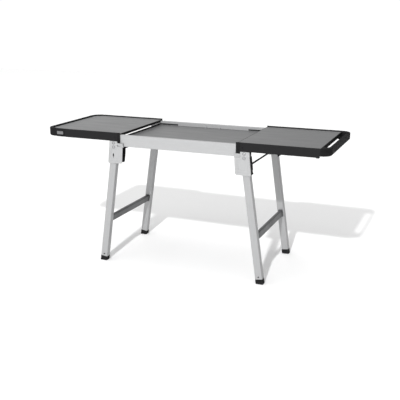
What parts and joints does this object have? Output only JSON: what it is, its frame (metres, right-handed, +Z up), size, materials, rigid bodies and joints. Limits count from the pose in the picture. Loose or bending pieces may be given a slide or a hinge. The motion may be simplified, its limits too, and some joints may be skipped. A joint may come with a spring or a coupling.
{
  "type": "camp kitchen table",
  "caption": "Folding aluminium camp kitchen table with a sunken centre panel, trays that pull out at both ends, and splayed legs that fold flat underneath.",
  "frame": {"origin": "on the ground under the middle of the table", "axes": "+X along the table towards the tray with the handle, +Y to the back, +Z up"},
  "size_m": [1.644, 0.5556, 0.76],
  "materials": {
    "silver_extrusion": "satin anodised",
    "silver_leg": "satin anodised",
    "silver_cover": "satin, pressed",
    "black_nylon": "fine-grained matt",
    "black_rail": "black anodised",
    "grey_board": "fine matt texture",
    "dark_crossbar": "dark grey anodised",
    "mill_aluminium": "mill",
    "black_steel": "blackened",
    "bright_steel": "zinc plated",
    "black_rubber": "matt",
    "badge_metal": "brushed, blank"
  },
  "bodies": {
    "frame": {"side_rail_front": "silver_extrusion", "side_rail_rear": "silver_extrusion", "rail_end_bushes": "black_nylon", "centre_panel": "grey_board", "panel_end_beam_left": "black_rail", "panel_end_beam_right": "black_rail", "cross_bearers": "mill_aluminium", "panel_clips": "mill_aluminium", "hinge_cover_left_front": "silver_cover", "hinge_cover_left_rear": "silver_cover", "hinge_cover_right_front": "silver_cover", "hinge_cover_right_rear": "silver_cover", "hinge_housing_left_front": "black_nylon", "hinge_housing_left_rear": "black_nylon", "hinge_housing_right_front": "black_nylon", "hinge_housing_right_rear": "black_nylon", "hinge_bolts": "bright_steel", "hinge_washers": "bright_steel", "hinge_nuts": "bright_steel"},
    "left_tray": {"left_deck": "grey_board", "left_tray_rail_front": "black_rail", "left_tray_rail_rear": "black_rail", "left_stop_hooks": "black_nylon", "left_inner_trim": "black_rail", "left_slide_bars": "mill_aluminium", "left_deck_bearers": "mill_aluminium", "left_deck_screws": "bright_steel", "left_end_cap": "black_nylon", "badge_plate": "badge_metal"},
    "right_tray": {"right_deck": "grey_board", "right_tray_rail_front": "black_rail", "right_tray_rail_rear": "black_rail", "right_stop_hooks": "black_nylon", "right_inner_trim": "black_rail", "right_slide_bars": "mill_aluminium", "right_deck_bearers": "mill_aluminium", "right_deck_screws": "bright_steel", "right_handle_cap": "black_nylon", "right_rail_pads": "black_rubber"},
    "left_legs": {"left_leg_front": "silver_leg", "left_leg_rear": "silver_leg", "left_foot_front": "black_rubber", "left_foot_rear": "black_rubber", "left_knuckles": "black_nylon", "left_crossbar": "dark_crossbar", "left_axle": "black_steel", "left_foot_pins": "black_steel", "left_lock_spring": "bright_steel"},
    "right_legs": {"right_leg_front": "silver_leg", "right_leg_rear": "silver_leg", "right_foot_front": "black_rubber", "right_foot_rear": "black_rubber", "right_knuckles": "black_nylon", "right_crossbar": "dark_crossbar", "right_axle": "black_steel", "right_foot_pins": "black_steel", "right_lock_spring": "bright_steel"},
    "left_button": {"left_lock_button": "black_steel"},
    "right_button": {"right_lock_button": "black_steel"}
  },
  "joints": [
    {"name": "left_tray_slide", "type": "slide", "parent": "frame", "child": "left_tray", "axis": [1, 0, 0], "range_m": [0, 0.3444]},
    {"name": "right_tray_slide", "type": "slide", "parent": "frame", "child": "right_tray", "axis": [-1, 0, 0], "range_m": [0, 0.3334]},
    {"name": "left_leg_fold", "type": "hinge", "parent": "frame", "child": "left_legs", "pos_m": [-0.38199, 0, 0.652], "axis": [0, -1, 0], "range_deg": [0, 98.25]},
    {"name": "right_leg_fold", "type": "hinge", "parent": "frame", "child": "right_legs", "pos_m": [0.38548, 0, 0.628], "axis": [0, 1, 0], "range_deg": [0, 88.25]},
    {"name": "left_lock_press", "type": "slide", "parent": "left_legs", "child": "left_button", "axis": [0, 1, 0], "range_m": [0, 0.0014], "stiffness_N_per_m": 500},
    {"name": "right_lock_press", "type": "slide", "parent": "right_legs", "child": "right_button", "axis": [0, -1, 0], "range_m": [0, 0.0014], "stiffness_N_per_m": 500}
  ]
}
